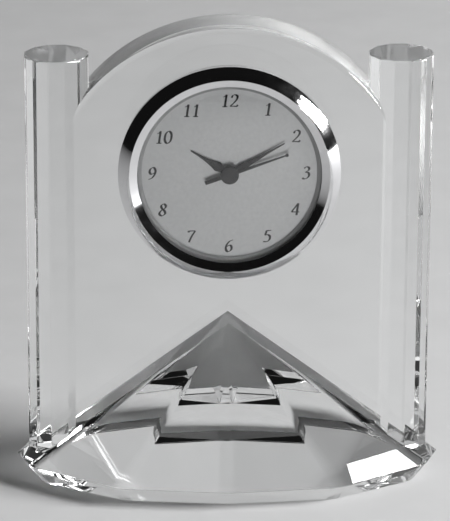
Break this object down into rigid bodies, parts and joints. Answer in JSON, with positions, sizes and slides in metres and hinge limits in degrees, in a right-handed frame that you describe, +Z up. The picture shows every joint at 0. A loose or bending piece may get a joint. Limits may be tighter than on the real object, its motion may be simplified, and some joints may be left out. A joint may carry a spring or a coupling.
{
  "type": "quartz mantel clock",
  "caption": "Free-standing quartz clock: a round fit-up insert with a polished bezel and silver dial in an arched clear crystal block with columns and a faceted base.",
  "frame": {"origin": "middle of the base's underside, on the surface that the clock stands on", "axes": "+Z up, the dial faces -Y, +X to the right of someone facing the dial"},
  "size_m": [0.1358, 0.0694, 0.1515],
  "materials": {
    "crystal": "polished clear lead crystal",
    "lens": "flat clear lens",
    "bezel_chrome": "polished, silver colour",
    "ring_metal": "satin",
    "dial_silver": "satin silver lacquer",
    "hand_black": "dark satin lacquer",
    "case_metal": "brushed",
    "soft_rubber": "matt",
    "band_rubber": "pale, smooth",
    "cover_plastic": "fine moulded grain",
    "plate_plastic": "moulded",
    "bridge_plastic": "moulded",
    "wheel_plastic": "moulded",
    "rotor_magnet": "bonded magnet",
    "screw_steel": "bright",
    "stator_steel": "plain",
    "brass": "turned",
    "copper_wire": "enamelled wire",
    "board_green": "solder mask",
    "chip_black": "moulded",
    "can_metal": "drawn can",
    "cell_steel": "nickel plated"
  },
  "bodies": {
    "crystal": {"crystal_body": "crystal"},
    "insert": {"bezel": "bezel_chrome", "lens": "lens", "lens_gasket": "soft_rubber", "dial_ring": "ring_metal", "dial": "dial_silver", "case": "case_metal", "grip_band": "band_rubber", "dial_spacer": "plate_plastic", "main_plate": "plate_plastic", "train_bridge": "bridge_plastic", "bridge_screw_1": "screw_steel", "bridge_screw_2": "screw_steel", "bridge_screw_3": "screw_steel", "stator": "stator_steel", "coil_core": "stator_steel", "coil_winding": "copper_wire", "circuit_board": "board_green", "ic_chip": "chip_black", "quartz_can": "can_metal", "battery": "cell_steel", "battery_spring": "brass", "battery_clip": "brass"},
    "rear_cover": {"rear_cover": "cover_plastic"},
    "second_train": {"second_wheel": "wheel_plastic", "second_hand": "hand_black", "hand_cap": "hand_black"},
    "fifth_train": {"fifth_wheel": "wheel_plastic"},
    "rotor": {"rotor": "rotor_magnet"},
    "third_train": {"third_wheel": "wheel_plastic"},
    "centre_train": {"centre_wheel": "wheel_plastic"},
    "minute_train": {"cannon_pinion": "brass", "minute_hand": "hand_black"},
    "setting_train": {"minute_wheel": "wheel_plastic", "setting_knob": "cover_plastic"},
    "hour_train": {"hour_wheel": "wheel_plastic", "hour_hand": "hand_black"}
  },
  "joints": [
    {"name": "insert_pull", "type": "slide", "parent": "crystal", "child": "insert", "axis": [0, -1, 0], "range_m": [0, 0.03]},
    {"name": "rear_cover_pull", "type": "slide", "parent": "insert", "child": "rear_cover", "axis": [0, 1, 0], "range_m": [0, 0.015]},
    {"name": "second_hand_spin", "type": "hinge", "parent": "insert", "child": "second_train", "pos_m": [0, 0, 0.1048], "axis": [0, 1, 0], "continuous": true},
    {"name": "fifth_wheel_spin", "type": "hinge", "parent": "insert", "child": "fifth_train", "pos_m": [0.00658, 0, 0.11033], "axis": [0, 1, 0], "continuous": true},
    {"name": "rotor_spin", "type": "hinge", "parent": "insert", "child": "rotor", "pos_m": [0.01178, 0, 0.11029], "axis": [0, 1, 0], "continuous": true},
    {"name": "third_wheel_spin", "type": "hinge", "parent": "insert", "child": "third_train", "pos_m": [-0.00827, 0, 0.10334], "axis": [0, 1, 0], "continuous": true},
    {"name": "centre_wheel_spin", "type": "hinge", "parent": "insert", "child": "centre_train", "pos_m": [0, 0, 0.1048], "axis": [0, 1, 0], "continuous": true},
    {"name": "minute_hand_spin", "type": "hinge", "parent": "insert", "child": "minute_train", "pos_m": [0, 0, 0.1048], "axis": [0, 1, 0], "continuous": true},
    {"name": "setting_knob_spin", "type": "hinge", "parent": "insert", "child": "setting_train", "pos_m": [0, 0, 0.0956], "axis": [0, 1, 0], "continuous": true},
    {"name": "hour_hand_spin", "type": "hinge", "parent": "insert", "child": "hour_train", "pos_m": [0, 0, 0.1048], "axis": [0, 1, 0], "continuous": true}
  ],
  "couplings": [
    {"joint": "fifth_wheel_spin", "follows": "second_hand_spin", "ratio": -5},
    {"joint": "rotor_spin", "follows": "second_hand_spin", "ratio": 30},
    {"joint": "third_wheel_spin", "follows": "second_hand_spin", "ratio": -0.13333},
    {"joint": "centre_wheel_spin", "follows": "second_hand_spin", "ratio": 0.016667},
    {"joint": "setting_knob_spin", "follows": "minute_hand_spin", "ratio": -0.33333},
    {"joint": "hour_hand_spin", "follows": "minute_hand_spin", "ratio": 0.083333}
  ]
}
